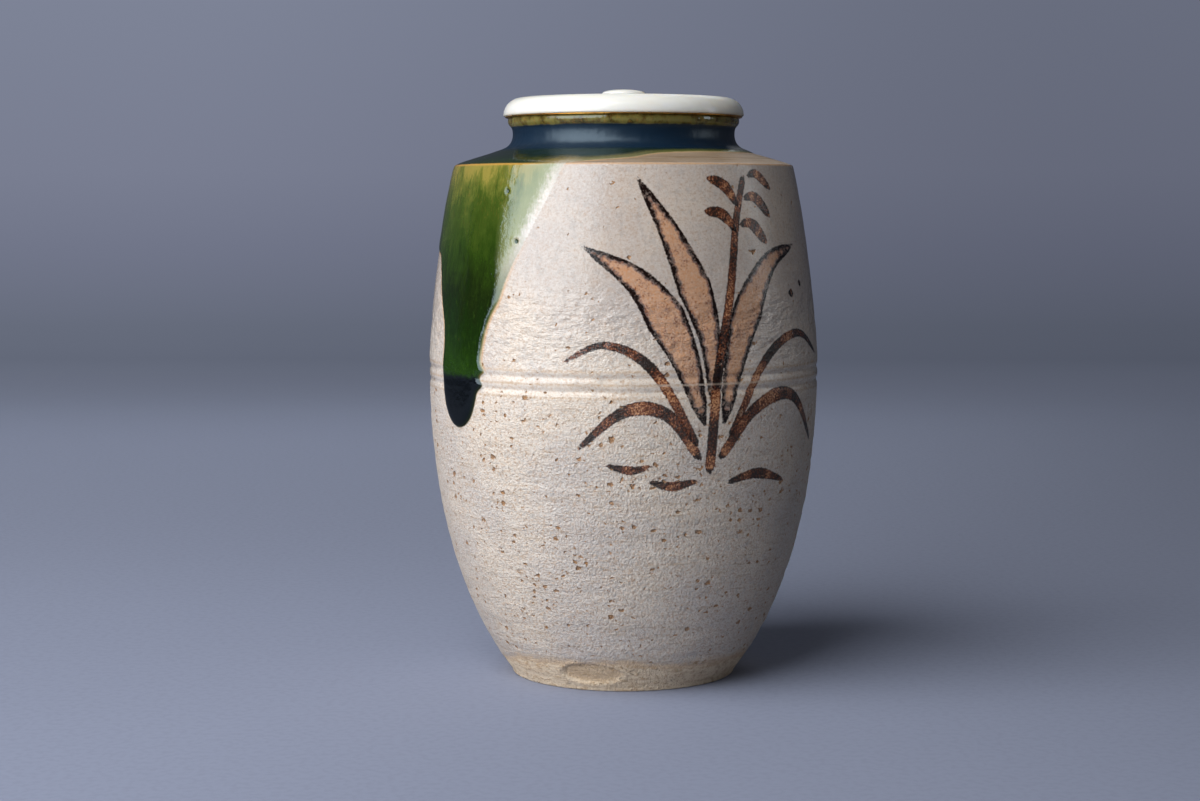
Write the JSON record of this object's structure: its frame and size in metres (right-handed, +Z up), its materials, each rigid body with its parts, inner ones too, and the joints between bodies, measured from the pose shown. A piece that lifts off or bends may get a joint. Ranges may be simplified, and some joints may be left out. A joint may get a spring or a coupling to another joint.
{
  "type": "chaire tea caddy",
  "caption": "Tall shouldered stoneware tea caddy with a poured green glaze run, a short waisted neck and a lift-off ivory-coloured lid lined with gold leaf.",
  "frame": {"origin": "centre of the flat base, on the surface that the jar stands on", "axes": "+Z up along the jar's axis, -Y out of the front, +X to the right of the front"},
  "size_m": [0.0598, 0.06, 0.0899],
  "materials": {
    "stoneware": "semi-matte cream glazed stoneware with iron specks, bare tan clay at the foot",
    "green_glaze": "glossy opaque copper-green glaze, near black where it pools",
    "ivory": "polished ivory-coloured material",
    "gold_leaf": "burnished leaf on paper backing"
  },
  "bodies": {
    "jar": {"jar_body": "stoneware", "green_glaze_coat": "green_glaze"},
    "lid": {"lid": "ivory", "gold_leaf_lining": "gold_leaf"}
  },
  "joints": [
    {"name": "lid_lift", "type": "slide", "parent": "jar", "child": "lid", "axis": [0, 0, 1], "range_m": [0, 0.04]}
  ]
}
